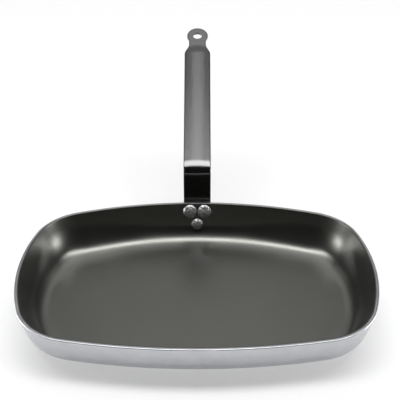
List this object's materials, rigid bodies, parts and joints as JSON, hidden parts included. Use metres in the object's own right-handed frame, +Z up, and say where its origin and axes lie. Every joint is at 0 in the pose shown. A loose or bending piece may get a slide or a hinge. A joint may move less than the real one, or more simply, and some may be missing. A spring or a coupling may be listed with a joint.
{
  "type": "rectangular roasting pan",
  "caption": "Rectangular roasting pan with bowed, flared sides, a dark non-stick lining and a long riveted strip handle that ends in a hanging eye.",
  "frame": {"origin": "middle of the flat base that the pan stands on", "axes": "+Z up out of the pan, +Y towards the handle, X along the pan's length"},
  "size_m": [0.3834, 0.4982, 0.1787],
  "materials": {
    "pan_aluminium": "bare pressed aluminium, satin, with a bright turned rim",
    "nonstick_film": "dark grey non-stick coating, satin with a fine sprayed texture",
    "handle_steel": "steel strip with a dark satin lacquer and faint lengthwise rolling lines",
    "rivet_metal": "bright solid rivets"
  },
  "bodies": {
    "root": {"pan_body": "pan_aluminium", "nonstick_coating": "nonstick_film", "handle_strip": "handle_steel", "rivet_upper_left": "rivet_metal", "rivet_upper_right": "rivet_metal", "rivet_lower": "rivet_metal"}
  },
  "joints": []
}
